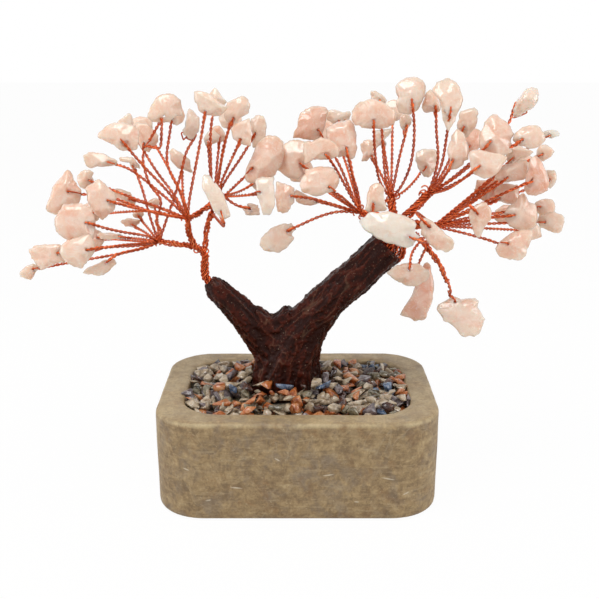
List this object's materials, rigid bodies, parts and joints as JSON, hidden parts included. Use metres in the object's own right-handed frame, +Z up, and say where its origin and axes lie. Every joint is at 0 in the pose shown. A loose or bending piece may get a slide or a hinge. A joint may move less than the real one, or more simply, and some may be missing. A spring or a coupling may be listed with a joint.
{
  "type": "gemstone tree ornament",
  "caption": "Free-standing ornamental tree: rose quartz chips on twisted copper twigs, a forked bark trunk and a gravel bed in a rounded stone pot.",
  "frame": {"origin": "centre of the pot's flat underside", "axes": "+Z up, +X along the pot's length towards the taller limb's side, -Y towards the viewer of the picture"},
  "size_m": [0.1732, 0.0644, 0.1307],
  "materials": {
    "bark_resin": "hand-modelled and lacquered",
    "copper_wire": "enamelled copper, twisted",
    "gravel_amethyst": "tumbled",
    "gravel_carnelian": "tumbled",
    "gravel_clear_quartz": "tumbled",
    "gravel_garnet": "tumbled",
    "gravel_moss_agate": "tumbled",
    "gravel_sodalite": "tumbled",
    "plaster": "cast",
    "rose_quartz": "tumbled",
    "stone_pot": "honed"
  },
  "bodies": {
    "pot_and_trunk": {"gravel_amethyst": "gravel_amethyst", "gravel_carnelian": "gravel_carnelian", "gravel_clear_quartz": "gravel_clear_quartz", "gravel_garnet": "gravel_garnet", "gravel_moss_agate": "gravel_moss_agate", "gravel_sodalite": "gravel_sodalite", "left_wire_core": "copper_wire", "plaster_bed": "plaster", "right_crest_chips": "rose_quartz", "right_crest_twigs": "copper_wire", "right_reach_chips": "rose_quartz", "right_reach_twigs": "copper_wire", "right_side_chips": "rose_quartz", "right_side_twigs": "copper_wire", "right_slant_chips": "rose_quartz", "right_slant_twigs": "copper_wire", "right_wire_bundle": "copper_wire", "stone_pot": "stone_pot", "trunk_bark": "bark_resin"},
    "left_crown": {"left_bridge_chips": "rose_quartz", "left_bridge_twigs": "copper_wire", "left_fan_chips": "rose_quartz", "left_fan_twigs": "copper_wire", "left_low_chips": "rose_quartz", "left_low_twigs": "copper_wire", "left_top_chips": "rose_quartz", "left_top_twigs": "copper_wire", "left_wire_stems": "copper_wire"},
    "drooping_branch": {"drooping_stem": "copper_wire", "drooping_twigs": "copper_wire"},
    "chip_blocky": {"chip_blocky": "rose_quartz"},
    "chip_drooping": {"chip_drooping": "rose_quartz"},
    "chip_far_left": {"chip_far_left": "rose_quartz"},
    "chip_hanging": {"chip_hanging": "rose_quartz"},
    "chip_long": {"chip_long": "rose_quartz"},
    "chip_low_left": {"chip_low_left": "rose_quartz"},
    "chip_slanting": {"chip_slanting": "rose_quartz"},
    "chip_teardrop": {"chip_teardrop": "rose_quartz"},
    "chip_under": {"chip_under": "rose_quartz"},
    "chip_wedge": {"chip_wedge": "rose_quartz"},
    "chip_white": {"chip_white": "rose_quartz"}
  },
  "joints": [
    {"name": "left_crown_bend", "type": "hinge", "parent": "pot_and_trunk", "child": "left_crown", "pos_m": [-0.02957, 0, 0.06877], "axis": [0, 1, 0], "range_deg": [-20, 0]},
    {"name": "drooping_branch_bend", "type": "hinge", "parent": "pot_and_trunk", "child": "drooping_branch", "pos_m": [0.03755, -0.01, 0.08283], "axis": [0, 1, 0], "range_deg": [-12, 12]},
    {"name": "chip_blocky_swing", "type": "hinge", "parent": "drooping_branch", "child": "chip_blocky", "pos_m": [0.04853, -0.01044, 0.063], "axis": [-0.0069, -0.866, 0.5], "range_deg": [-38, 28]},
    {"name": "chip_drooping_swing", "type": "hinge", "parent": "pot_and_trunk", "child": "chip_drooping", "pos_m": [-0.00287, -0.00597, 0.08454], "axis": [-0.1864, -0.9131, 0.3627], "range_deg": [-45, 45]},
    {"name": "chip_far_left_swing", "type": "hinge", "parent": "left_crown", "child": "chip_far_left", "pos_m": [-0.08419, 0.00206, 0.07068], "axis": [-0.022, -0.9537, 0.2999], "range_deg": [-8, 45]},
    {"name": "chip_hanging_swing", "type": "hinge", "parent": "pot_and_trunk", "child": "chip_hanging", "pos_m": [0.03898, 0.00269, 0.06766], "axis": [0.1737, -0.9286, 0.3279], "range_deg": [-45, 6]},
    {"name": "chip_long_swing", "type": "hinge", "parent": "left_crown", "child": "chip_long", "pos_m": [-0.02195, -0.02348, 0.09392], "axis": [0.1186, -0.923, 0.366], "range_deg": [-40, 45]},
    {"name": "chip_low_left_swing", "type": "hinge", "parent": "left_crown", "child": "chip_low_left", "pos_m": [-0.05942, -0.00552, 0.07467], "axis": [0.118, -0.9747, 0.1899], "range_deg": [-45, 4]},
    {"name": "chip_slanting_swing", "type": "hinge", "parent": "pot_and_trunk", "child": "chip_slanting", "pos_m": [0.0382, -0.02207, 0.08936], "axis": [-0.1024, -0.9612, 0.256], "range_deg": [-4, 45]},
    {"name": "chip_teardrop_swing", "type": "hinge", "parent": "pot_and_trunk", "child": "chip_teardrop", "pos_m": [0.05308, -0.01486, 0.09185], "axis": [0.0717, -0.9839, 0.1639], "range_deg": [-45, 8]},
    {"name": "chip_under_swing", "type": "hinge", "parent": "pot_and_trunk", "child": "chip_under", "pos_m": [0.03439, -0.00816, 0.07314], "axis": [-0.0814, -0.9745, 0.2093], "range_deg": [-30, 15]},
    {"name": "chip_wedge_swing", "type": "hinge", "parent": "pot_and_trunk", "child": "chip_wedge", "pos_m": [0.02241, -0.01755, 0.09518], "axis": [-0.1963, -0.9389, 0.2826], "range_deg": [-45, 45]},
    {"name": "chip_white_swing", "type": "hinge", "parent": "pot_and_trunk", "child": "chip_white", "pos_m": [0.03214, -0.025, 0.08706], "axis": [-0.1138, -0.9773, 0.1789], "range_deg": [-30, 45]}
  ]
}
